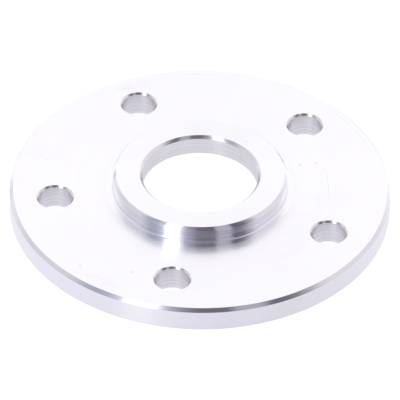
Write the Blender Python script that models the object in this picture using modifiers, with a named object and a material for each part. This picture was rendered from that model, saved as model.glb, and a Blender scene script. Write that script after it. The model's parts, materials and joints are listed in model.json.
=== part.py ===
"""Brake disc spacer for a wheel hub with five disc bolts.

The part is turned from one piece of aluminium bar. A flat plate carries a
raised register that centres the brake disc. A bore runs through both, and a
recess in the underside sits over the hub's own register. Five bolt holes are
drilled and countersunk on the bolt circle.

Metres, +Z up. The origin is on the axis, in the plane of the underside, and
the first bolt hole is at the front, on -Y.
"""

import math

import bpy

# Bolt holes
BOLT_COUNT = 5
BOLT_CIRCLE_DIAMETER = 0.08255
BOLT_HOLE_DIAMETER = 0.0096
BOLT_HOLE_COUNTERSINK = 0.0005
BOLT_HOLE_EDGE_BREAK = 0.0002
FIRST_HOLE_ANGLE = math.radians(-90.0)

# Plate, which ends one rim land outside the bolt holes
RIM_LAND = 0.007925
PLATE_THICKNESS = 0.0075
RIM_TOP_CHAMFER = 0.00095
RIM_BOTTOM_CHAMFER = 0.0006

# Register, the raised boss that centres the brake disc
REGISTER_DIAMETER = 0.0495
REGISTER_HEIGHT = 0.0049
REGISTER_CHAMFER = 0.0009
REGISTER_ROOT_RADIUS = 0.0004

# Bore through the register
BORE_DIAMETER = 0.03275
BORE_TOP_CHAMFER = 0.0008
BORE_EDGE_BREAK = 0.0002

# Recess in the underside, for the hub's register of the same nominal diameter
RECESS_CLEARANCE = 0.0001
RECESS_WEB = 0.0012
RECESS_CORNER_RADIUS = 0.0004
RECESS_MOUTH_CHAMFER = 0.0005

# Fineness of the round surfaces
TURN_STEPS = 144
HOLE_STEPS = 48
FILLET_STEPS = 4
SHARP_EDGE_ANGLE = math.radians(30.0)
WELD_DISTANCE = 1e-6
CUTTER_OVERRUN = 0.0005

# Places that follow from the sizes above
BOLT_HOLE_RADIUS = BOLT_HOLE_DIAMETER / 2
PLATE_RADIUS = BOLT_CIRCLE_DIAMETER / 2 + BOLT_HOLE_RADIUS + RIM_LAND
REGISTER_RADIUS = REGISTER_DIAMETER / 2
REGISTER_TOP = PLATE_THICKNESS + REGISTER_HEIGHT
BORE_RADIUS = BORE_DIAMETER / 2
RECESS_RADIUS = (REGISTER_DIAMETER + RECESS_CLEARANCE) / 2
RECESS_ROOF = PLATE_THICKNESS - RECESS_WEB


def clear_scene():
    """Remove whatever objects the scene starts with."""
    for thing in list(bpy.data.objects):
        bpy.data.objects.remove(thing, do_unlink=True)


def new_collection(name, parent):
    """Make a collection under another one and return it."""
    collection = bpy.data.collections.new(name)
    parent.children.link(collection)
    return collection


def turned_aluminium():
    """Bright bare aluminium as it leaves the lathe."""
    material = bpy.data.materials.new("turned_aluminium")
    material.use_nodes = True
    shader = material.node_tree.nodes["Principled BSDF"]
    shader.inputs["Base Color"].default_value = (0.88, 0.88, 0.90, 1.0)
    shader.inputs["Metallic"].default_value = 1.0
    shader.inputs["Roughness"].default_value = 0.22
    return material


def fillet(centre_r, centre_z, radius, start_degrees, end_degrees):
    """Points of a quarter arc in the section, both ends included."""
    points = []
    for step in range(FILLET_STEPS + 1):
        turn = start_degrees + (end_degrees - start_degrees) * step / FILLET_STEPS
        angle = math.radians(turn)
        points.append((centre_r + radius * math.cos(angle), centre_z + radius * math.sin(angle)))
    return points


def register_section():
    """Section of the register, from the bore's mouth to the root on the plate."""
    root = REGISTER_ROOT_RADIUS
    return [
        (BORE_RADIUS + BORE_TOP_CHAMFER, REGISTER_TOP),
        (REGISTER_RADIUS - REGISTER_CHAMFER, REGISTER_TOP),
        (REGISTER_RADIUS, REGISTER_TOP - REGISTER_CHAMFER),
    ] + fillet(REGISTER_RADIUS + root, PLATE_THICKNESS + root, root, 180, 270)


def rim_section():
    """Section of the plate's rim, with a chamfer at either face."""
    return [
        (PLATE_RADIUS - RIM_TOP_CHAMFER, PLATE_THICKNESS),
        (PLATE_RADIUS, PLATE_THICKNESS - RIM_TOP_CHAMFER),
        (PLATE_RADIUS, RIM_BOTTOM_CHAMFER),
        (PLATE_RADIUS - RIM_BOTTOM_CHAMFER, 0.0),
    ]


def recess_section():
    """Section of the recess, from its mouth in the underside to its roof."""
    corner = RECESS_CORNER_RADIUS
    return [
        (RECESS_RADIUS + RECESS_MOUTH_CHAMFER, 0.0),
        (RECESS_RADIUS, RECESS_MOUTH_CHAMFER),
    ] + fillet(RECESS_RADIUS - corner, RECESS_ROOF - corner, corner, 0, 90)


def bore_section():
    """Section of the bore, from the recess's roof up to its top chamfer."""
    return [
        (BORE_RADIUS + BORE_EDGE_BREAK, RECESS_ROOF),
        (BORE_RADIUS, RECESS_ROOF + BORE_EDGE_BREAK),
        (BORE_RADIUS, REGISTER_TOP - BORE_TOP_CHAMFER),
    ]


def add_turned(name, section, closed, steps, collection):
    """Turn a section of (radius, height) points about Z with a Screw modifier."""
    count = len(section)
    mesh = bpy.data.meshes.new(name)
    vertices = [(r, 0.0, z) for r, z in section]
    edges = [(i, i + 1) for i in range(count - 1)]
    if closed:
        edges.append((count - 1, 0))
    mesh.from_pydata(vertices, edges, [])
    turned = bpy.data.objects.new(name, mesh)
    collection.objects.link(turned)

    turn = turned.modifiers.new("turn", "SCREW")
    turn.axis = "Z"
    turn.angle = math.tau
    turn.steps = steps
    turn.render_steps = steps
    turn.use_merge_vertices = True
    turn.merge_threshold = WELD_DISTANCE
    return turned


def turn_blank(collection):
    """Turn the whole spacer from its section, without the bolt holes."""
    section = register_section() + rim_section() + recess_section() + bore_section()
    return add_turned("spacer", section, True, TURN_STEPS, collection)


def bolt_hole_section():
    """Section of the cutter for one hole: countersink, drill and lower edge break."""
    hole = BOLT_HOLE_RADIUS
    over = CUTTER_OVERRUN
    above = PLATE_THICKNESS + over
    return [
        (0.0, above),
        (hole + BOLT_HOLE_COUNTERSINK + over, above),
        (hole, PLATE_THICKNESS - BOLT_HOLE_COUNTERSINK),
        (hole, BOLT_HOLE_EDGE_BREAK),
        (hole + BOLT_HOLE_EDGE_BREAK + over, -over),
        (0.0, -over),
    ]


def bolt_positions():
    """Angle about the axis and centre of each bolt hole."""
    radius = BOLT_CIRCLE_DIAMETER / 2
    for index in range(BOLT_COUNT):
        angle = FIRST_HOLE_ANGLE + math.tau * index / BOLT_COUNT
        yield angle, (radius * math.cos(angle), radius * math.sin(angle), 0.0)


def drill_bolt_holes(part, cutters):
    """Cut the bolt holes with one turned cutter at each place on the bolt circle."""
    for number, (angle, centre) in enumerate(bolt_positions(), start=1):
        cutter = add_turned(f"bolt_hole_{number}", bolt_hole_section(), False, HOLE_STEPS, cutters)
        cutter.location = centre
        cutter.rotation_euler.z = angle
        cutter.hide_render = True
        cutter.display_type = "WIRE"

    cut = part.modifiers.new("bolt_holes", "BOOLEAN")
    cut.operation = "DIFFERENCE"
    cut.operand_type = "COLLECTION"
    cut.collection = cutters
    cut.solver = "EXACT"


def finish_surface(part):
    """Make the cut shape the part's own mesh, smooth where it is round."""
    graph = bpy.context.evaluated_depsgraph_get()
    mesh = bpy.data.meshes.new_from_object(part.evaluated_get(graph))
    part.modifiers.clear()
    part.data = mesh
    mesh.shade_smooth()
    mesh.set_sharp_from_angle(angle=SHARP_EDGE_ANGLE)
    mesh.materials.clear()
    mesh.materials.append(turned_aluminium())


def build():
    """Model the spacer."""
    clear_scene()
    scene_root = bpy.context.scene.collection
    parts = new_collection("brake_disc_spacer", scene_root)
    cutters = new_collection("cutters", scene_root)
    spacer = turn_blank(parts)
    drill_bolt_holes(spacer, cutters)
    finish_surface(spacer)


build()
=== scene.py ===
"""Brake disc spacer: its finished surfaces, the studio round it and the camera.

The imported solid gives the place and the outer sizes. This script turns the same
spacer again with finer edges and with the marks that a lathe and a drill leave,
and stands it on a white table under soft light.

Metres, +Z up. The origin is on the axis, in the plane of the underside.
"""

import json
import logging
import math
from dataclasses import dataclass
from enum import Enum

import bpy
from mathutils import Matrix, Vector

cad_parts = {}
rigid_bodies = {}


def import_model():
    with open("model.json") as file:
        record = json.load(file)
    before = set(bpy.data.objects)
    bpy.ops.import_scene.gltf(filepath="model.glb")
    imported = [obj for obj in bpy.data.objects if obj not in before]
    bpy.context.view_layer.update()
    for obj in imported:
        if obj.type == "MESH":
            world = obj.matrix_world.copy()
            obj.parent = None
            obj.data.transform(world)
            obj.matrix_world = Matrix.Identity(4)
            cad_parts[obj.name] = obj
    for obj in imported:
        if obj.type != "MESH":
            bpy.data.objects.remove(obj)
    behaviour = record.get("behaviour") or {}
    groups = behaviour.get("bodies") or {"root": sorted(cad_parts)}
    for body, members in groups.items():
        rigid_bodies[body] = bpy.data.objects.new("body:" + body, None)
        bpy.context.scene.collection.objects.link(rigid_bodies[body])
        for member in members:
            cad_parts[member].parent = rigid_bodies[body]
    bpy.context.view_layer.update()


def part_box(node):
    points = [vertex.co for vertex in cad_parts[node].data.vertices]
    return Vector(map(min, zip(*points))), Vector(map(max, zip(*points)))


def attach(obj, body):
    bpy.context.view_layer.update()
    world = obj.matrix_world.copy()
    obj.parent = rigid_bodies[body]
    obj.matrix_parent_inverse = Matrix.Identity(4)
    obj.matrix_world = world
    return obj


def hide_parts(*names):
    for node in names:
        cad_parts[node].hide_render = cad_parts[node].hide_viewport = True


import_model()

BODY = "root"
NODE = "spacer"
MM = 0.001

# How far round from the first bolt hole the camera and the studio stand
FACING = math.radians(10.205)

# The colour sockets of a Mix node, which has one set for each kind of data
MIX_FIRST, MIX_SECOND, MIX_RESULT = 6, 7, 2

Colour = tuple[float, float, float]
Point = tuple[float, float]

log = logging.getLogger("spacer")


class Zone(Enum):
    """The kinds of machined surface, in the order of the material slots."""

    FACED = 0
    TURNED = 1
    REGISTER = 2
    BORED = 3
    COUNTERSUNK = 4
    DRILLED = 5


class NodeSketch:
    """Short ways to add and link the nodes of one tree."""

    def __init__(self, tree: bpy.types.NodeTree) -> None:
        """Start on the node tree of a material, a group or the world."""
        self.tree = tree

    def add(self, kind: str, **settings: object) -> bpy.types.Node:
        """Add one node.

        Args:
            kind: The node's type name.
            settings: Properties to set on it.

        Returns:
            The new node.
        """
        node = self.tree.nodes.new(kind)
        for name, value in settings.items():
            setattr(node, name, value)
        return node

    def feed(self, socket: bpy.types.NodeSocket, source: object) -> None:
        """Link a socket to another one, or set its value.

        Args:
            socket: The input to feed.
            source: An output socket, a number or a tuple of numbers.
        """
        if isinstance(source, bpy.types.NodeSocket):
            self.tree.links.new(source, socket)
        else:
            socket.default_value = source

    def maths(self, operation: str, *terms: object) -> bpy.types.NodeSocket:
        """Add a Math node.

        Args:
            operation: What it does to its terms.
            terms: Sockets or numbers, in order.

        Returns:
            The result's socket.
        """
        node = self.add("ShaderNodeMath", operation=operation)
        for socket, term in zip(node.inputs, terms):
            self.feed(socket, term)
        return node.outputs[0]

    def vector(self, operation: str, *terms: object) -> bpy.types.NodeSocket:
        """Add a Vector Math node.

        Args:
            operation: What it does to its terms.
            terms: Sockets or tuples, in order.

        Returns:
            The resulting vector's socket.
        """
        node = self.add("ShaderNodeVectorMath", operation=operation)
        for socket, term in zip(node.inputs, terms):
            self.feed(socket, term)
        return node.outputs[0]

    def between(
        self, value: object, low: float, high: float, start: float = 0.0, end: float = 1.0
    ) -> bpy.types.NodeSocket:
        """Map a value smoothly from one range to another.

        Args:
            value: The socket to map.
            low: The value that gives start.
            high: The value that gives end.
            start: The result at low and below.
            end: The result at high and above.

        Returns:
            The mapped value's socket.
        """
        node = self.add("ShaderNodeMapRange", interpolation_type="SMOOTHSTEP")
        for socket, term in zip(node.inputs, (value, low, high, start, end)):
            self.feed(socket, term)
        return node.outputs["Result"]

    def noise(
        self, scale: object, detail: float, vector: object = None, along: object = None
    ) -> bpy.types.NodeSocket:
        """Add a Noise texture, in space or along one value.

        Args:
            scale: Features per metre, a number or a socket.
            detail: How many finer layers it has.
            vector: The place to read, for noise in space.
            along: The value to read, for noise along a line.

        Returns:
            The noise's socket, about 0 to 1.
        """
        in_space = along is None
        node = self.add("ShaderNodeTexNoise", noise_dimensions="3D" if in_space else "1D")
        self.feed(node.inputs["Scale"], scale)
        self.feed(node.inputs["Detail"], detail)
        self.feed(node.inputs["Vector" if in_space else "W"], vector if in_space else along)
        return node.outputs["Fac"]

    def group(self, tree: bpy.types.NodeTree, **values: object) -> bpy.types.Node:
        """Place a node group.

        Args:
            tree: The group to place.
            values: What feeds its inputs, by name.

        Returns:
            The group's node.
        """
        node = self.add("ShaderNodeGroup", node_tree=tree)
        for name, value in values.items():
            self.feed(node.inputs[name], value)
        return node


def new_group(name: str, inputs: dict[str, float], outputs: list[str]) -> NodeSketch:
    """Make an empty shader node group with plain number sockets.

    Args:
        name: The group's name.
        inputs: Each input's name and default.
        outputs: Each output's name.

    Returns:
        A sketch on the group's tree, with its input and output nodes.
    """
    tree = bpy.data.node_groups.new(name, "ShaderNodeTree")
    for title, value in inputs.items():
        socket = tree.interface.new_socket(title, in_out="INPUT", socket_type="NodeSocketFloat")
        socket.default_value = value
    for title in outputs:
        tree.interface.new_socket(title, in_out="OUTPUT", socket_type="NodeSocketFloat")
    sketch = NodeSketch(tree)
    sketch.add("NodeGroupInput")
    sketch.add("NodeGroupOutput")
    return sketch


@dataclass(frozen=True)
class MachiningMarks:
    """The effects that every machined surface shares, as node groups.

    Scales are features per metre. A pair of edges holds the noise value at
    which a mark starts to show and the one at which it shows whole.
    """

    ring_detail: float = 2.0
    ring_edges: Point = (0.25, 0.75)
    bands_per_ring: float = 0.14
    band_detail: float = 3.0
    band_edges: Point = (0.3, 0.7)
    smudge_scale: float = 46.0
    smudge_detail: float = 4.0
    smudge_edges: Point = (0.56, 0.78)
    scratch_direction: float = math.radians(68.0)
    scratch_stretch: float = 30.0
    scratch_scale: float = 52.0
    scratch_detail: float = 1.0
    scratch_width: float = 0.006
    scratched_scale: float = 38.0
    scratched_edges: Point = (0.6, 0.66)
    speck_scale: float = 150.0
    speck_size: float = 0.08
    specked_scale: float = 60.0
    specked_edges: Point = (0.66, 0.7)
    broken_scale: float = 480.0
    broken_detail: float = 3.0
    broken_edges: Point = (0.36, 0.62)
    least_shown: float = 0.25

    def turning(self) -> bpy.types.NodeTree:
        """Fine rings that a tool leaves as it feeds across or along the work.

        Returns:
            A group that gives the Rings one by one and the slower Bands of
            them, from a Place, which is the distance that the tool has fed.
        """
        sketch = new_group(
            "turning_marks", {"Place": 0.0, "Rings per metre": 4000.0}, ["Rings", "Bands"]
        )
        given = sketch.tree.nodes["Group Input"].outputs
        result = sketch.tree.nodes["Group Output"].inputs
        place, per_metre = given["Place"], given["Rings per metre"]
        rings = sketch.noise(per_metre, self.ring_detail, along=place)
        slower = sketch.maths("MULTIPLY", per_metre, self.bands_per_ring)
        bands = sketch.noise(slower, self.band_detail, along=place)
        sketch.feed(result["Rings"], sketch.between(rings, *self.ring_edges))
        sketch.feed(result["Bands"], sketch.between(bands, *self.band_edges))
        return sketch.tree

    def handling(self) -> bpy.types.NodeTree:
        """Faint smudges, hairline scratches and specks from handling.

        Returns:
            A group that gives a Smudge mask, a Scratch mask and a Speck mask,
            each 0 on clean metal, and a Broken mask that thins a mark unevenly.
        """
        sketch = new_group(
            "handling_marks", {"Size": 1.0}, ["Smudge", "Scratch", "Speck", "Broken"]
        )
        given = sketch.tree.nodes["Group Input"].outputs
        result = sketch.tree.nodes["Group Output"].inputs
        place = sketch.add("ShaderNodeTexCoord").outputs["Object"]
        place = sketch.vector("SCALE", place)
        sketch.feed(place.node.inputs["Scale"], given["Size"])

        smudge = sketch.noise(self.smudge_scale, self.smudge_detail, vector=place)
        sketch.feed(result["Smudge"], sketch.between(smudge, *self.smudge_edges))

        stretch = sketch.add("ShaderNodeMapping")
        sketch.feed(stretch.inputs["Vector"], place)
        stretch.inputs["Rotation"].default_value = (0.0, 0.0, self.scratch_direction)
        stretch.inputs["Scale"].default_value = (1.0, self.scratch_stretch, 1.0)
        along = stretch.outputs["Vector"]
        hair = sketch.noise(self.scratch_scale, self.scratch_detail, vector=along)
        off_line = sketch.maths("ABSOLUTE", sketch.maths("SUBTRACT", hair, 0.5))
        line = sketch.between(off_line, self.scratch_width, 0.0)
        sparse = sketch.noise(self.scratched_scale, self.scratch_detail, vector=place)
        sparse = sketch.between(sparse, *self.scratched_edges)
        sketch.feed(result["Scratch"], sketch.maths("MULTIPLY", line, sparse))

        cells = sketch.add("ShaderNodeTexVoronoi")
        sketch.feed(cells.inputs["Vector"], place)
        sketch.feed(cells.inputs["Scale"], self.speck_scale)
        dot = sketch.between(cells.outputs["Distance"], self.speck_size, 0.0)
        rare = sketch.noise(self.specked_scale, 0.0, vector=place)
        rare = sketch.between(rare, *self.specked_edges)
        sketch.feed(result["Speck"], sketch.maths("MULTIPLY", dot, rare))

        uneven = sketch.noise(self.broken_scale, self.broken_detail, vector=place)
        shown = sketch.between(uneven, *self.broken_edges, self.least_shown, 1.0)
        sketch.feed(result["Broken"], shown)
        return sketch.tree


@dataclass(frozen=True)
class Mark:
    """One mark that handling or the lathe left at a place on a face.

    The place is a radius in millimetres and an angle in degrees about the
    axis, with the width and the span that the mark reaches from there each
    way. The tone is what it adds to the colour. A solid mark shows whole, and
    any other one is thin in parts.
    """

    name: str
    radius: float
    width: float
    angle: float
    span: float
    tone: float
    solid: bool = False
    whole_width: float = 0.2
    whole_span: float = 0.4

    def mask(self, sketch: NodeSketch, radius: object, angle: object) -> bpy.types.NodeSocket:
        """Give how much of the mark shows at a place.

        Args:
            sketch: The material's tree.
            radius: The socket of the place's radius.
            angle: The socket of the place's angle, in radians.

        Returns:
            The socket of a value from 0 to 1.
        """
        across = sketch.maths("SUBTRACT", radius, self.radius * MM)
        along = sketch.maths("SUBTRACT", angle, math.radians(self.angle))
        across = sketch.maths("ABSOLUTE", across)
        along = sketch.maths("ABSOLUTE", along)
        across = sketch.between(across, self.width * MM, self.width * self.whole_width * MM)
        span, whole = math.radians(self.span), math.radians(self.span * self.whole_span)
        return sketch.maths("MULTIPLY", across, sketch.between(along, span, whole))


MARKS = (
    Mark("smudge", 49.4, 2.4, 124.0, 8.0, -0.055),
    Mark("tool line near the rim", 51.6, 0.28, 42.0, 18.0, -0.07),
    Mark("outer tool line near the rim", 53.0, 0.25, 46.0, 14.0, -0.06),
    Mark("tool line at the back", 51.4, 0.3, 100.0, 10.0, -0.07),
    Mark("dull patch in front", 49.8, 2.0, -113.0, 9.0, -0.03),
    Mark("scratch", 36.4, 0.24, 14.0, 13.0, -0.09),
    Mark("left speck", 48.7, 0.5, -122.7, 0.6, -0.13, True),
    Mark("front speck", 42.3, 0.5, -105.9, 0.7, -0.1, True),
    Mark("right speck", 30.2, 0.45, 30.2, 0.9, -0.12, True),
    Mark("outer right speck", 34.7, 0.45, 29.1, 0.8, -0.14, True),
)


@dataclass(frozen=True)
class MachinedFinish:
    """Bare aluminium as one machining step leaves it.

    The ring depth is in metres. The tones are shares of the colour, and the
    band tone is the swing of the roughness too. Where the tool changed its
    feed across a face, the feed holds radii in millimetres with the roughness
    that it left at each. The rise share says how much faster the rings follow
    a wall's height than its radius.
    """

    zone: Zone
    colour: Colour
    roughness: float
    across: float
    rings_per_metre: float
    ring_depth: float
    ring_tone: float
    band_tone: float
    worn_roughness: float
    about_hole: bool = False
    feed: tuple[Point, ...] = ()
    marks: tuple[Mark, ...] = ()
    smudge_tone: float = -0.02
    speck_tone: float = -0.12
    scratch_roughness: float = 0.1
    rise_share: float = 1.7
    anisotropy_turn: float = 0.25

    def tangent(self, sketch: NodeSketch) -> bpy.types.NodeSocket:
        """Give the direction in which the tool cut.

        Args:
            sketch: The material's tree.

        Returns:
            The socket of a direction round the spacer's or the hole's axis.
        """
        if self.about_hole:
            normal = sketch.add("ShaderNodeNewGeometry").outputs["Normal"]
            return sketch.vector("CROSS_PRODUCT", (0.0, 0.0, 1.0), normal)
        return sketch.add("ShaderNodeTangent", direction_type="RADIAL", axis="Z").outputs[0]

    def fed_distance(self, sketch: NodeSketch) -> bpy.types.NodeSocket:
        """Give how far the tool has fed at a place.

        Args:
            sketch: The material's tree.

        Returns:
            The socket of a length: the height in a hole, the radius on a face,
            and elsewhere both together, so that rings show on every side.
        """
        place = sketch.add("ShaderNodeTexCoord").outputs["Object"]
        parts = sketch.add("ShaderNodeSeparateXYZ")
        sketch.feed(parts.inputs[0], place)
        x, y, z = parts.outputs
        if self.about_hole:
            return z
        squares = [sketch.maths("MULTIPLY", side, side) for side in (x, y)]
        radius = sketch.maths("SQRT", sketch.maths("ADD", *squares))
        if self.zone is Zone.FACED:
            return radius
        return sketch.maths("MULTIPLY_ADD", z, self.rise_share, radius)

    def angle(self, sketch: NodeSketch) -> bpy.types.NodeSocket:
        """Give the angle of a place about the spacer's axis.

        Args:
            sketch: The material's tree.

        Returns:
            The socket of an angle in radians, 0 on +X.
        """
        parts = sketch.add("ShaderNodeSeparateXYZ")
        sketch.feed(parts.inputs[0], sketch.add("ShaderNodeTexCoord").outputs["Object"])
        x, y, _ = parts.outputs
        return sketch.maths("ARCTAN2", y, x)

    def material(
        self, turning: bpy.types.NodeTree, handling: bpy.types.NodeTree
    ) -> bpy.types.Material:
        """Build the material.

        Args:
            turning: The turning marks' group.
            handling: The handling marks' group.

        Returns:
            The finished material.
        """
        material = bpy.data.materials.new(f"aluminium_{self.zone.name.lower()}")
        material.use_nodes = True
        sketch = NodeSketch(material.node_tree)
        shader = material.node_tree.nodes["Principled BSDF"]
        shader.inputs["Metallic"].default_value = 1.0
        shader.inputs["Anisotropic"].default_value = self.across
        shader.inputs["Anisotropic Rotation"].default_value = self.anisotropy_turn
        sketch.feed(shader.inputs["Tangent"], self.tangent(sketch))

        place = self.fed_distance(sketch)
        marks = sketch.group(
            turning, **{"Place": place, "Rings per metre": self.rings_per_metre}
        ).outputs
        wear = sketch.group(handling).outputs

        shift = 1.0 - (self.ring_tone + self.band_tone) / 2
        tone = sketch.maths("MULTIPLY_ADD", marks["Rings"], self.ring_tone, shift)
        tone = sketch.maths("MULTIPLY_ADD", marks["Bands"], self.band_tone, tone)
        if self.marks:
            angle = self.angle(sketch)
            for mark in self.marks:
                shown = mark.mask(sketch, place, angle)
                if not mark.solid:
                    shown = sketch.maths("MULTIPLY", shown, wear["Broken"])
                tone = sketch.maths("MULTIPLY_ADD", shown, mark.tone, tone)
        tone = sketch.maths("MULTIPLY_ADD", wear["Smudge"], self.smudge_tone, tone)
        tone = sketch.maths("MULTIPLY_ADD", wear["Speck"], self.speck_tone, tone)
        tint = sketch.vector("SCALE", self.colour)
        sketch.feed(tint.node.inputs["Scale"], tone)
        sketch.feed(shader.inputs["Base Color"], tint)

        shift = self.roughness - self.band_tone / 2
        rough = sketch.maths("MULTIPLY_ADD", marks["Bands"], self.band_tone, shift)
        for (near, before), (far, after) in zip(self.feed, self.feed[1:]):
            change = sketch.between(place, near * MM, far * MM, 0.0, after - before)
            rough = sketch.maths("ADD", rough, change)
        rough = sketch.maths("MULTIPLY_ADD", wear["Smudge"], self.worn_roughness, rough)
        rough = sketch.maths("MULTIPLY_ADD", wear["Scratch"], self.scratch_roughness, rough)
        sketch.feed(shader.inputs["Roughness"], rough)

        bump = sketch.add("ShaderNodeBump")
        bump.inputs["Strength"].default_value = 1.0
        bump.inputs["Distance"].default_value = self.ring_depth
        sketch.feed(bump.inputs["Height"], marks["Rings"])
        sketch.feed(shader.inputs["Normal"], bump.outputs["Normal"])
        return material


FINISHES = (
    MachinedFinish(
        zone=Zone.FACED, colour=(0.925, 0.91, 0.953), roughness=0.18, across=1.0,
        rings_per_metre=3000.0, ring_depth=1e-6, ring_tone=0.006, band_tone=0.008,
        worn_roughness=0.03,
        feed=((23.9, 0.18), (24.6, 0.13), (26.65, 0.13), (26.95, 0.225), (30.0, 0.165)),
        marks=MARKS,
    ),
    MachinedFinish(
        zone=Zone.TURNED, colour=(0.92, 0.905, 0.95), roughness=0.17, across=0.8,
        rings_per_metre=2600.0, ring_depth=1e-6, ring_tone=0.02, band_tone=0.02,
        worn_roughness=0.02,
    ),
    MachinedFinish(
        zone=Zone.REGISTER, colour=(0.93, 0.925, 0.965), roughness=0.085, across=1.0,
        rings_per_metre=850.0, ring_depth=1e-6, ring_tone=0.1, band_tone=0.02,
        worn_roughness=0.02,
    ),
    MachinedFinish(
        zone=Zone.BORED, colour=(0.922, 0.907, 0.922), roughness=0.18, across=0.8,
        rings_per_metre=850.0, ring_depth=1e-6, ring_tone=0.06, band_tone=0.02,
        worn_roughness=0.02,
    ),
    MachinedFinish(
        zone=Zone.COUNTERSUNK, colour=(0.915, 0.898, 0.905), roughness=0.17, across=0.85,
        rings_per_metre=3500.0, ring_depth=1e-6, ring_tone=0.01, band_tone=0.02,
        worn_roughness=0.02, about_hole=True,
    ),
    MachinedFinish(
        zone=Zone.DRILLED, colour=(0.872, 0.855, 0.886), roughness=0.39, across=0.85,
        rings_per_metre=1900.0, ring_depth=6e-6, ring_tone=0.22, band_tone=0.02,
        worn_roughness=0.03, about_hole=True,
    ),
)


@dataclass(frozen=True)
class Corner:
    """One corner of a turned section and the radius that rounds it."""

    r: float
    z: float
    radius: float = 0.0

    def rounded(self, before: "Corner", after: "Corner", steps: int) -> list[Point]:
        """Round the corner with an arc that meets both sides.

        Args:
            before: The corner before this one.
            after: The corner after it.
            steps: How many straight pieces the arc has.

        Returns:
            The arc's points, or the corner alone where its radius is 0.
        """
        here = Vector((self.r, self.z))
        if self.radius <= 0.0:
            return [tuple(here)]
        back = (Vector((before.r, before.z)) - here).normalized()
        ahead = (Vector((after.r, after.z)) - here).normalized()
        half = back.angle(ahead) / 2
        centre = here + (back + ahead).normalized() * (self.radius / math.sin(half))
        reach = self.radius / math.tan(half)
        first = here + back * reach - centre
        last = here + ahead * reach - centre
        turn = first.angle_signed(last)
        points = []
        for step in range(steps + 1):
            spoke = first.copy()
            spoke.rotate(Matrix.Rotation(-turn * step / steps, 2))
            points.append(tuple(centre + spoke))
        return points


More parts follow.
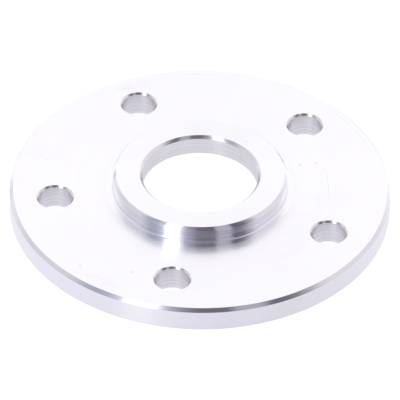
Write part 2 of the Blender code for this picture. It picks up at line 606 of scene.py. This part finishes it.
@dataclass
class Spacer:
    """The spacer: one turned piece with a register, a bore, a recess and bolt holes."""

    plate_radius: float
    height: float
    plate_thickness: float = 7.5 * MM
    rim_top_chamfer: float = 0.95 * MM
    rim_bottom_chamfer: float = 0.6 * MM
    register_radius: float = 24.75 * MM
    register_chamfer: float = 0.9 * MM
    register_root: float = 0.4 * MM
    bore_radius: float = 16.375 * MM
    bore_chamfer: float = 0.8 * MM
    bore_edge_break: float = 0.2 * MM
    recess_radius: float = 24.8 * MM
    recess_roof: float = 6.3 * MM
    recess_corner: float = 0.4 * MM
    recess_mouth: float = 0.5 * MM
    bolt_count: int = 5
    bolt_circle_radius: float = 41.275 * MM
    bolt_hole_radius: float = 4.8 * MM
    countersink: float = 0.5 * MM
    hole_edge_break: float = 0.2 * MM
    broken_edge: float = 0.06 * MM
    turn_steps: int = 512
    hole_steps: int = 96
    arc_steps: int = 4
    cutter_overrun: float = 1.0 * MM
    mouth_margin: float = 0.02 * MM
    weld_distance: float = 0.5e-6
    smooth_limit: float = math.radians(32.0)
    flat_limit: float = 0.995
    wall_limit: float = 0.3
    normal_weight: int = 100
    finishes: tuple[MachinedFinish, ...] = FINISHES

    def section(self) -> list[Point]:
        """Give the closed section of the blank, with every edge broken.

        Returns:
            Points of radius and height, round the section once.
        """
        edge = self.broken_edge
        corners = [
            Corner(self.bore_radius + self.bore_chamfer, self.height, edge),
            Corner(self.register_radius - self.register_chamfer, self.height, edge),
            Corner(self.register_radius, self.height - self.register_chamfer, edge),
            Corner(self.register_radius, self.plate_thickness, self.register_root),
            Corner(self.plate_radius - self.rim_top_chamfer, self.plate_thickness, edge),
            Corner(self.plate_radius, self.plate_thickness - self.rim_top_chamfer, edge),
            Corner(self.plate_radius, self.rim_bottom_chamfer, edge),
            Corner(self.plate_radius - self.rim_bottom_chamfer, 0.0, edge),
            Corner(self.recess_radius + self.recess_mouth, 0.0, edge),
            Corner(self.recess_radius, self.recess_mouth, edge),
            Corner(self.recess_radius, self.recess_roof, self.recess_corner),
            Corner(self.bore_radius + self.bore_edge_break, self.recess_roof, edge),
            Corner(self.bore_radius, self.recess_roof + self.bore_edge_break, edge),
            Corner(self.bore_radius, self.height - self.bore_chamfer, edge),
        ]
        points: list[Point] = []
        for index, corner in enumerate(corners):
            after = corners[(index + 1) % len(corners)]
            points.extend(corner.rounded(corners[index - 1], after, self.arc_steps))
        return points

    def hole_section(self) -> list[Point]:
        """Give the open section of the cutter for one bolt hole.

        Returns:
            Points of radius and height, from the axis above to the axis below.
        """
        hole, over = self.bolt_hole_radius, self.cutter_overrun
        edge = self.broken_edge
        corners = [
            Corner(0.0, self.plate_thickness + over),
            Corner(hole + self.countersink + over, self.plate_thickness + over),
            Corner(hole, self.plate_thickness - self.countersink, edge),
            Corner(hole, self.hole_edge_break, edge),
            Corner(hole + self.hole_edge_break + over, -over),
            Corner(0.0, -over),
        ]
        points: list[Point] = []
        for index, corner in enumerate(corners):
            before, after = corners[index - 1], corners[(index + 1) % len(corners)]
            points.extend(corner.rounded(before, after, self.arc_steps))
        return points

    def hole_centres(self) -> list[Vector]:
        """Give the centre of each bolt hole.

        Returns:
            The centres in order, the first one in front.
        """
        centres = []
        for index in range(self.bolt_count):
            angle = math.tau * index / self.bolt_count - math.pi / 2
            spoke = Vector((math.cos(angle), math.sin(angle), 0.0))
            centres.append(self.bolt_circle_radius * spoke)
        return centres

    def turn(self, name: str, section: list[Point], closed: bool, steps: int) -> bpy.types.Object:
        """Turn a section about Z.

        Args:
            name: The new object's name.
            section: Points of radius and height.
            closed: Whether the last point joins the first.
            steps: How many steps a full turn takes.

        Returns:
            The object, with a live Screw modifier.
        """
        last = len(section) - 1
        edges = [(i, i + 1) for i in range(last)]
        if closed:
            edges.append((last, 0))
        mesh = bpy.data.meshes.new(name)
        mesh.from_pydata([(r, 0.0, z) for r, z in section], edges, [])
        turned = bpy.data.objects.new(name, mesh)
        bpy.context.scene.collection.objects.link(turned)
        screw = turned.modifiers.new("turn", "SCREW")
        screw.axis = "Z"
        screw.steps = screw.render_steps = steps
        screw.use_merge_vertices = True
        screw.merge_threshold = self.weld_distance
        return turned

    def cut_holes(self, blank: bpy.types.Object) -> bpy.types.Mesh:
        """Cut the bolt holes out of the blank.

        Args:
            blank: The turned blank.

        Returns:
            The mesh of the blank with its holes.
        """
        cutters = bpy.data.collections.new("hole_cutters")
        bpy.context.scene.collection.children.link(cutters)
        section = self.hole_section()
        for number, centre in enumerate(self.hole_centres(), start=1):
            cutter = self.turn(f"hole_cutter_{number}", section, False, self.hole_steps)
            cutter.location = centre
            cutters.objects.link(cutter)
            bpy.context.scene.collection.objects.unlink(cutter)
        cut = blank.modifiers.new("bolt_holes", "BOOLEAN")
        cut.operation = "DIFFERENCE"
        cut.operand_type = "COLLECTION"
        cut.collection = cutters
        cut.solver = "EXACT"
        graph = bpy.context.evaluated_depsgraph_get()
        mesh = bpy.data.meshes.new_from_object(blank.evaluated_get(graph))
        for cutter in list(cutters.objects):
            bpy.data.objects.remove(cutter)
        bpy.data.collections.remove(cutters)
        return mesh

    def zone(self, face: bpy.types.MeshPolygon, centres: list[Vector]) -> Zone:
        """Tell which machining step made a face.

        Args:
            face: The face.
            centres: The bolt holes' centres.

        Returns:
            The face's zone.
        """
        mouth = self.bolt_hole_radius + self.countersink + self.mouth_margin
        slope = abs(face.normal.z)
        if slope > self.flat_limit:
            return Zone.FACED
        if any((face.center.xy - c.xy).length < mouth for c in centres):
            return Zone.COUNTERSUNK if slope > self.wall_limit else Zone.DRILLED
        if face.center.xy.length < self.bore_radius + self.bore_chamfer:
            return Zone.BORED
        return Zone.REGISTER if face.center.z > self.plate_thickness else Zone.TURNED

    def build(self) -> bpy.types.Object:
        """Turn the blank, cut its holes and dress it.

        Returns:
            The finished piece.
        """
        piece = self.turn("spacer_turned", self.section(), True, self.turn_steps)
        mesh = self.cut_holes(piece)
        piece.modifiers.clear()
        piece.data = mesh
        self.dress(piece)
        return piece

    def dress(self, piece: bpy.types.Object) -> None:
        """Smooth the piece and give each face its finish.

        Args:
            piece: The cut piece.
        """
        mesh = piece.data
        mesh.materials.clear()
        marks = MachiningMarks()
        turning, handling = marks.turning(), marks.handling()
        for finish in self.finishes:
            mesh.materials.append(finish.material(turning, handling))
        centres = self.hole_centres()
        for face in mesh.polygons:
            face.material_index = self.zone(face, centres).value
        mesh.shade_smooth()
        mesh.set_sharp_from_angle(angle=self.smooth_limit)
        even = piece.modifiers.new("even_normals", "WEIGHTED_NORMAL")
        even.keep_sharp = True
        even.weight = self.normal_weight


@dataclass(frozen=True)
class Card:
    """A card, flag or lamp that stands round the table, as the metal sees it.

    Its ends are angles in degrees round the table: 0 in front, and positive
    to the right.
    """

    name: str
    start: float
    end: float
    colour: Colour
    end_colour: Colour | None = None

    def stops(self) -> list[tuple[float, Colour]]:
        """Give the angle and colour at the card's two ends."""
        return [(self.start, self.colour), (self.end, self.end_colour or self.colour)]


@dataclass(frozen=True)
class Tier:
    """The cards that fill one band of heights, up to where the next band starts.

    The band gives way to the next between its two heights, in degrees above
    the table.
    """

    blend_from: float
    blend_to: float
    cards: tuple[Card, ...]


TIERS = (
    Tier(3.0, 8.0, (
        Card("back wall, left half", -180.0, -146.5, (0.96, 0.955, 0.97)),
        Card("edge of the left wall", -142.0, -138.0, (0.60, 0.60, 0.62)),
        Card("left wall", -135.0, -81.0, (0.79, 0.78, 0.83), (0.70, 0.69, 0.74)),
        Card("front", -70.0, 70.0, (0.45, 0.46, 0.52)),
        Card("right wall", 81.0, 120.0, (0.72, 0.69, 0.74), (0.81, 0.79, 0.82)),
        Card("back wall, right half", 148.0, 180.0, (0.96, 0.955, 0.97)),
    )),
    Tier(41.0, 47.0, (
        Card("back wall, left half", -180.0, -150.0, (1.07, 1.07, 1.07)),
        Card("left wall", -112.0, -82.0, (0.70, 0.69, 0.745)),
        Card("blue-grey card", -70.0, -60.0, (0.41, 0.445, 0.53)),
        Card("lit end of the card", -59.9, -48.0, (0.42, 0.45, 0.54), (0.70, 0.735, 0.84)),
        Card("strip lamp", -44.9, -28.3, (1.9, 1.9, 1.85)),
        Card("soft edge of the lamp", -26.6, -24.0, (1.04, 1.05, 1.07), (0.93, 0.96, 1.0)),
        Card("lit edge of the flag", -17.5, -2.0, (0.47, 0.50, 0.63), (0.23, 0.24, 0.30)),
        Card("dark flag", 0.0, 20.0, (0.205, 0.215, 0.265), (0.19, 0.188, 0.228)),
        Card("grey gap", 26.0, 42.0, (0.47, 0.46, 0.53)),
        Card("second dark flag", 46.0, 60.5, (0.135, 0.135, 0.17)),
        Card("lit edge of the second flag", 61.0, 71.5, (0.17, 0.17, 0.205), (0.47, 0.45, 0.48)),
        Card("right wall", 78.5, 120.0, (0.78, 0.74, 0.79), (0.81, 0.78, 0.83)),
        Card("back wall, right half", 148.0, 180.0, (1.07, 1.07, 1.07)),
    )),
    Tier(58.0, 66.0, (
        Card("back wall, left half", -180.0, -150.0, (1.06, 1.06, 1.06)),
        Card("left wall", -112.0, -82.0, (0.71, 0.70, 0.755)),
        Card("blue-grey card", -74.0, -60.0, (0.35, 0.36, 0.435)),
        Card("lit end of the card", -59.9, -49.0, (0.37, 0.38, 0.465), (0.64, 0.655, 0.75)),
        Card("strip lamp", -44.4, -30.2, (2.6, 2.6, 2.5)),
        Card("soft edge of the lamp", -27.4, -25.0, (0.94, 0.92, 0.95), (0.76, 0.74, 0.81)),
        Card("lit edge of the flag", -19.0, -2.0, (0.41, 0.395, 0.475), (0.175, 0.14, 0.185)),
        Card("dark flag", 0.0, 20.0, (0.17, 0.135, 0.175), (0.15, 0.125, 0.165)),
        Card("grey gap", 26.0, 42.0, (0.46, 0.43, 0.50)),
        Card("second dark flag", 47.5, 55.0, (0.12, 0.115, 0.15)),
        Card("lit edge of the second flag", 57.0, 70.0, (0.18, 0.17, 0.20), (0.50, 0.47, 0.52)),
        Card("right wall", 79.0, 118.0, (0.83, 0.79, 0.85)),
        Card("back wall, right half", 146.0, 180.0, (1.06, 1.06, 1.06)),
    )),
    Tier(80.0, 88.0, (
        Card("back wall, left half", -180.0, -150.0, (1.06, 1.06, 1.06)),
        Card("left wall", -112.0, -84.0, (0.71, 0.70, 0.755)),
        Card("cloth over the front", -52.0, 63.0, (0.15, 0.145, 0.18)),
        Card("right wall", 79.0, 118.0, (0.83, 0.79, 0.85)),
        Card("back wall, right half", 146.0, 180.0, (1.06, 1.06, 1.06)),
    )),
)


@dataclass
class Studio:
    """The white table and the soft surroundings.

    A pair of edges holds the distance from the axis, or from the bolt circle,
    at which a shade on the table starts and the one at which it is whole.
    """

    facing: float
    tiers: tuple[Tier, ...] = TIERS
    ceiling: Colour = (1.06, 1.05, 1.07)
    table_radius: float = 3.0
    table_sides: int = 96
    table_drop: float = 0.02 * MM
    table_colour: Colour = (0.16, 0.16, 0.165)
    table_gloss: float = 0.12
    table_glow: Colour = (0.94, 0.94, 1.0)
    table_glow_seen: float = 1.0
    table_glow_reflected: float = 0.81
    table_sheen_ior: float = 1.45
    table_sheen: float = 0.6
    bore_shade: float = 0.16
    bore_shade_edges: Point = (26.0 * MM, 24.0 * MM)
    hole_light: float = 0.12
    hole_circle: float = 41.3 * MM
    hole_light_edges: Point = (7.0 * MM, 5.5 * MM)
    side_shade: float = 0.09
    shaded_side: float = math.radians(30.0)
    shaded_reach: float = math.radians(45.0)
    side_shade_edges: Point = (50.0 * MM, 52.0 * MM)

    def ring_of_cards(
        self, sketch: NodeSketch, tier: Tier, share: bpy.types.NodeSocket
    ) -> bpy.types.NodeSocket:
        """Give the colour of one tier's cards all round.

        Args:
            sketch: The world's tree.
            tier: The tier.
            share: The socket of the direction, 0 to 1 round the table.

        Returns:
            The colour's socket.
        """
        ramp = sketch.add("ShaderNodeValToRGB")
        sketch.feed(ramp.inputs["Fac"], share)
        stops = ramp.color_ramp.elements
        places = sorted(stop for card in tier.cards for stop in card.stops())
        while len(stops) < len(places):
            stops.new(0.5)
        for stop, (degrees, colour) in zip(stops, places):
            stop.position = degrees / 360.0 + 0.5
            stop.color = (*colour, 1.0)
        return ramp.outputs["Color"]

    def surroundings(self) -> None:
        """Make the world: cards, a ceiling, and plain white for the camera."""
        world = bpy.data.worlds.new("studio")
        bpy.context.scene.world = world
        world.use_nodes = True
        sketch = NodeSketch(world.node_tree)
        world.node_tree.nodes.clear()
        direction = sketch.add("ShaderNodeTexCoord").outputs["Generated"]
        turned = sketch.add("ShaderNodeVectorRotate", rotation_type="Z_AXIS")
        sketch.feed(turned.inputs["Vector"], direction)
        sketch.feed(turned.inputs["Angle"], -self.facing)
        parts = sketch.add("ShaderNodeSeparateXYZ")
        sketch.feed(parts.inputs[0], turned.outputs[0])
        x, y, z = parts.outputs
        angle = sketch.maths("ARCTAN2", x, sketch.maths("MULTIPLY", y, -1.0))
        share = sketch.maths("MULTIPLY_ADD", angle, 1.0 / math.tau, 0.5)
        light: object = (*self.ceiling, 1.0)
        for tier in reversed(self.tiers):
            low, high = math.radians(tier.blend_from), math.radians(tier.blend_to)
            above = sketch.between(z, math.sin(low), math.sin(high))
            blend = sketch.add("ShaderNodeMix", data_type="RGBA")
            sketch.feed(blend.inputs["Factor"], above)
            sketch.feed(blend.inputs[MIX_FIRST], self.ring_of_cards(sketch, tier, share))
            sketch.feed(blend.inputs[MIX_SECOND], light)
            light = blend.outputs[MIX_RESULT]
        lit = sketch.add("ShaderNodeBackground")
        sketch.feed(lit.inputs["Color"], light)
        white = sketch.add("ShaderNodeBackground")
        sketch.feed(white.inputs["Color"], (1.0, 1.0, 1.0, 1.0))
        seen = sketch.add("ShaderNodeLightPath").outputs["Is Camera Ray"]
        pick = sketch.add("ShaderNodeMixShader")
        sketch.feed(pick.inputs[0], seen)
        sketch.feed(pick.inputs[1], lit.outputs[0])
        sketch.feed(pick.inputs[2], white.outputs[0])
        output = sketch.add("ShaderNodeOutputWorld")
        sketch.feed(output.inputs["Surface"], pick.outputs[0])

    def table_light(self, sketch: NodeSketch) -> bpy.types.NodeSocket:
        """Give how bright the table is round the part, as the metal sees it.

        Args:
            sketch: The table's tree.

        Returns:
            The socket of a strength, with painted shade and light: lower under
            the recess and on the side that the dark flags shade, higher under
            the bolt holes, and less where the table mirrors the walls instead.
        """
        side = self.facing + self.shaded_side
        place = sketch.add("ShaderNodeNewGeometry").outputs["Position"]
        length = sketch.add("ShaderNodeVectorMath", operation="LENGTH")
        sketch.feed(length.inputs[0], place)
        radius = length.outputs["Value"]
        # Painted shade under the recess and on the flags' side, and painted light under the bolt
        # holes, set by place into the table's glow; no lamp casts them
        inside = sketch.between(radius, *self.bore_shade_edges)
        under_holes = sketch.maths("SUBTRACT", radius, self.hole_circle)
        under_holes = sketch.maths("ABSOLUTE", under_holes)
        under_holes = sketch.between(under_holes, *self.hole_light_edges)
        towards = sketch.vector("NORMALIZE", place)
        along = sketch.add("ShaderNodeVectorMath", operation="DOT_PRODUCT")
        sketch.feed(along.inputs[0], towards)
        sketch.feed(along.inputs[1], (math.sin(side), -math.cos(side), 0.0))
        shaded = sketch.between(along.outputs["Value"], math.cos(self.shaded_reach), 1.0)
        beyond = sketch.between(radius, *self.side_shade_edges)
        shade = sketch.maths("MULTIPLY", shaded, self.side_shade)
        shade = sketch.maths("MULTIPLY", shade, beyond)
        shade = sketch.maths("MULTIPLY_ADD", inside, self.bore_shade, shade)
        shade = sketch.maths("MULTIPLY_ADD", under_holes, -self.hole_light, shade)
        light = sketch.maths("SUBTRACT", 1.0, shade)
        light = sketch.maths("MULTIPLY", light, self.table_glow_reflected)
        sheen = sketch.add("ShaderNodeFresnel")
        sketch.feed(sheen.inputs["IOR"], self.table_sheen_ior)
        mirrored = sketch.maths("MULTIPLY_ADD", sheen.outputs[0], -self.table_sheen, 1.0)
        return sketch.maths("MULTIPLY", light, mirrored)

    def table_material(self) -> bpy.types.Material:
        """Make the white table, which glows a little to the camera and in the metal.

        From below it is clear, so that the underside can be looked at.

        Returns:
            The table's material.
        """
        material = bpy.data.materials.new("white_table")
        material.use_nodes = True
        sketch = NodeSketch(material.node_tree)
        material.node_tree.nodes.clear()
        board = sketch.add("ShaderNodeBsdfPrincipled")
        sketch.feed(board.inputs["Base Color"], (*self.table_colour, 1.0))
        sketch.feed(board.inputs["Roughness"], self.table_gloss)
        path = sketch.add("ShaderNodeLightPath").outputs
        glow = sketch.maths("MULTIPLY", path["Is Camera Ray"], self.table_glow_seen)
        reflected = sketch.maths("MAXIMUM", path["Is Glossy Ray"], path["Is Transmission Ray"])
        reflected = sketch.maths("MULTIPLY", reflected, self.table_light(sketch))
        glow = sketch.maths("ADD", reflected, glow)
        light = sketch.add("ShaderNodeEmission")
        sketch.feed(light.inputs["Color"], (*self.table_glow, 1.0))
        sketch.feed(light.inputs["Strength"], glow)
        both = sketch.add("ShaderNodeAddShader")
        sketch.feed(both.inputs[0], board.outputs[0])
        sketch.feed(both.inputs[1], light.outputs[0])
        below = sketch.add("ShaderNodeNewGeometry").outputs["Backfacing"]
        pick = sketch.add("ShaderNodeMixShader")
        sketch.feed(pick.inputs[0], below)
        sketch.feed(pick.inputs[1], both.outputs[0])
        sketch.feed(pick.inputs[2], sketch.add("ShaderNodeBsdfTransparent").outputs[0])
        output = sketch.add("ShaderNodeOutputMaterial")
        sketch.feed(output.inputs["Surface"], pick.outputs[0])
        return material

    def table(self) -> bpy.types.Object:
        """Make the round table top.

        Returns:
            The table, with its top a hair below the seat, so that no two
            faces lie in one plane.
        """
        rim = []
        for side in range(self.table_sides):
            angle = math.tau * side / self.table_sides
            x, y = self.table_radius * math.cos(angle), self.table_radius * math.sin(angle)
            rim.append((x, y, -self.table_drop))
        mesh = bpy.data.meshes.new("table")
        mesh.from_pydata(rim, [], [tuple(range(self.table_sides))])
        mesh.materials.append(self.table_material())
        table = bpy.data.objects.new("table", mesh)
        bpy.context.scene.collection.objects.link(table)
        return table

    def build(self) -> bpy.types.Object:
        """Make the surroundings and the table.

        Returns:
            The table.
        """
        self.surroundings()
        bpy.context.scene.view_settings.view_transform = "Standard"
        return self.table()


@dataclass
class ProductCamera:
    """A long lens that looks down on the spacer from the front."""

    facing: float
    elevation: float = math.radians(39.5146)
    distance: float = 1.74481
    aim: tuple[float, float, float] = (0.0000364, 0.0022888, 0.000649)
    roll: float = math.radians(0.8434)
    lens: float = 551.96
    sensor_width: float = 36.0
    clip: Point = (0.1, 10.0)

    def build(self) -> bpy.types.Object:
        """Make the camera and use it.

        Returns:
            The camera.
        """
        data = bpy.data.cameras.new("camera")
        data.sensor_width = self.sensor_width
        data.lens = self.lens
        data.clip_start, data.clip_end = self.clip
        camera = bpy.data.objects.new("camera", data)
        bpy.context.scene.collection.objects.link(camera)
        back = Vector((0.0, -math.cos(self.elevation), math.sin(self.elevation)))
        round_z = Matrix.Rotation(self.facing, 4, "Z")
        place = Matrix.Translation(Vector(self.aim) + back * self.distance)
        tilt = Matrix.Rotation(math.pi / 2 - self.elevation, 4, "X")
        camera.matrix_world = round_z @ place @ tilt @ Matrix.Rotation(self.roll, 4, "Z")
        bpy.context.scene.camera = camera
        return camera


def report(piece: bpy.types.Object) -> None:
    """Log one piece with its triangle count.

    Args:
        piece: The piece.
    """
    mesh = piece.evaluated_get(bpy.context.evaluated_depsgraph_get()).to_mesh()
    triangles = sum(len(face.vertices) - 2 for face in mesh.polygons)
    log.info("%s: %d triangles", piece.name, triangles)


def main() -> None:
    """Build the camera, the studio and the spacer."""
    logging.basicConfig(level=logging.INFO, format="%(name)s: %(message)s")
    ProductCamera(FACING).build()
    Studio(FACING).build()

    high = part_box(NODE)[1]
    piece = Spacer(plate_radius=high.x, height=high.z).build()
    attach(piece, BODY)
    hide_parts(NODE)
    report(piece)


if __name__ == "__main__":
    main()
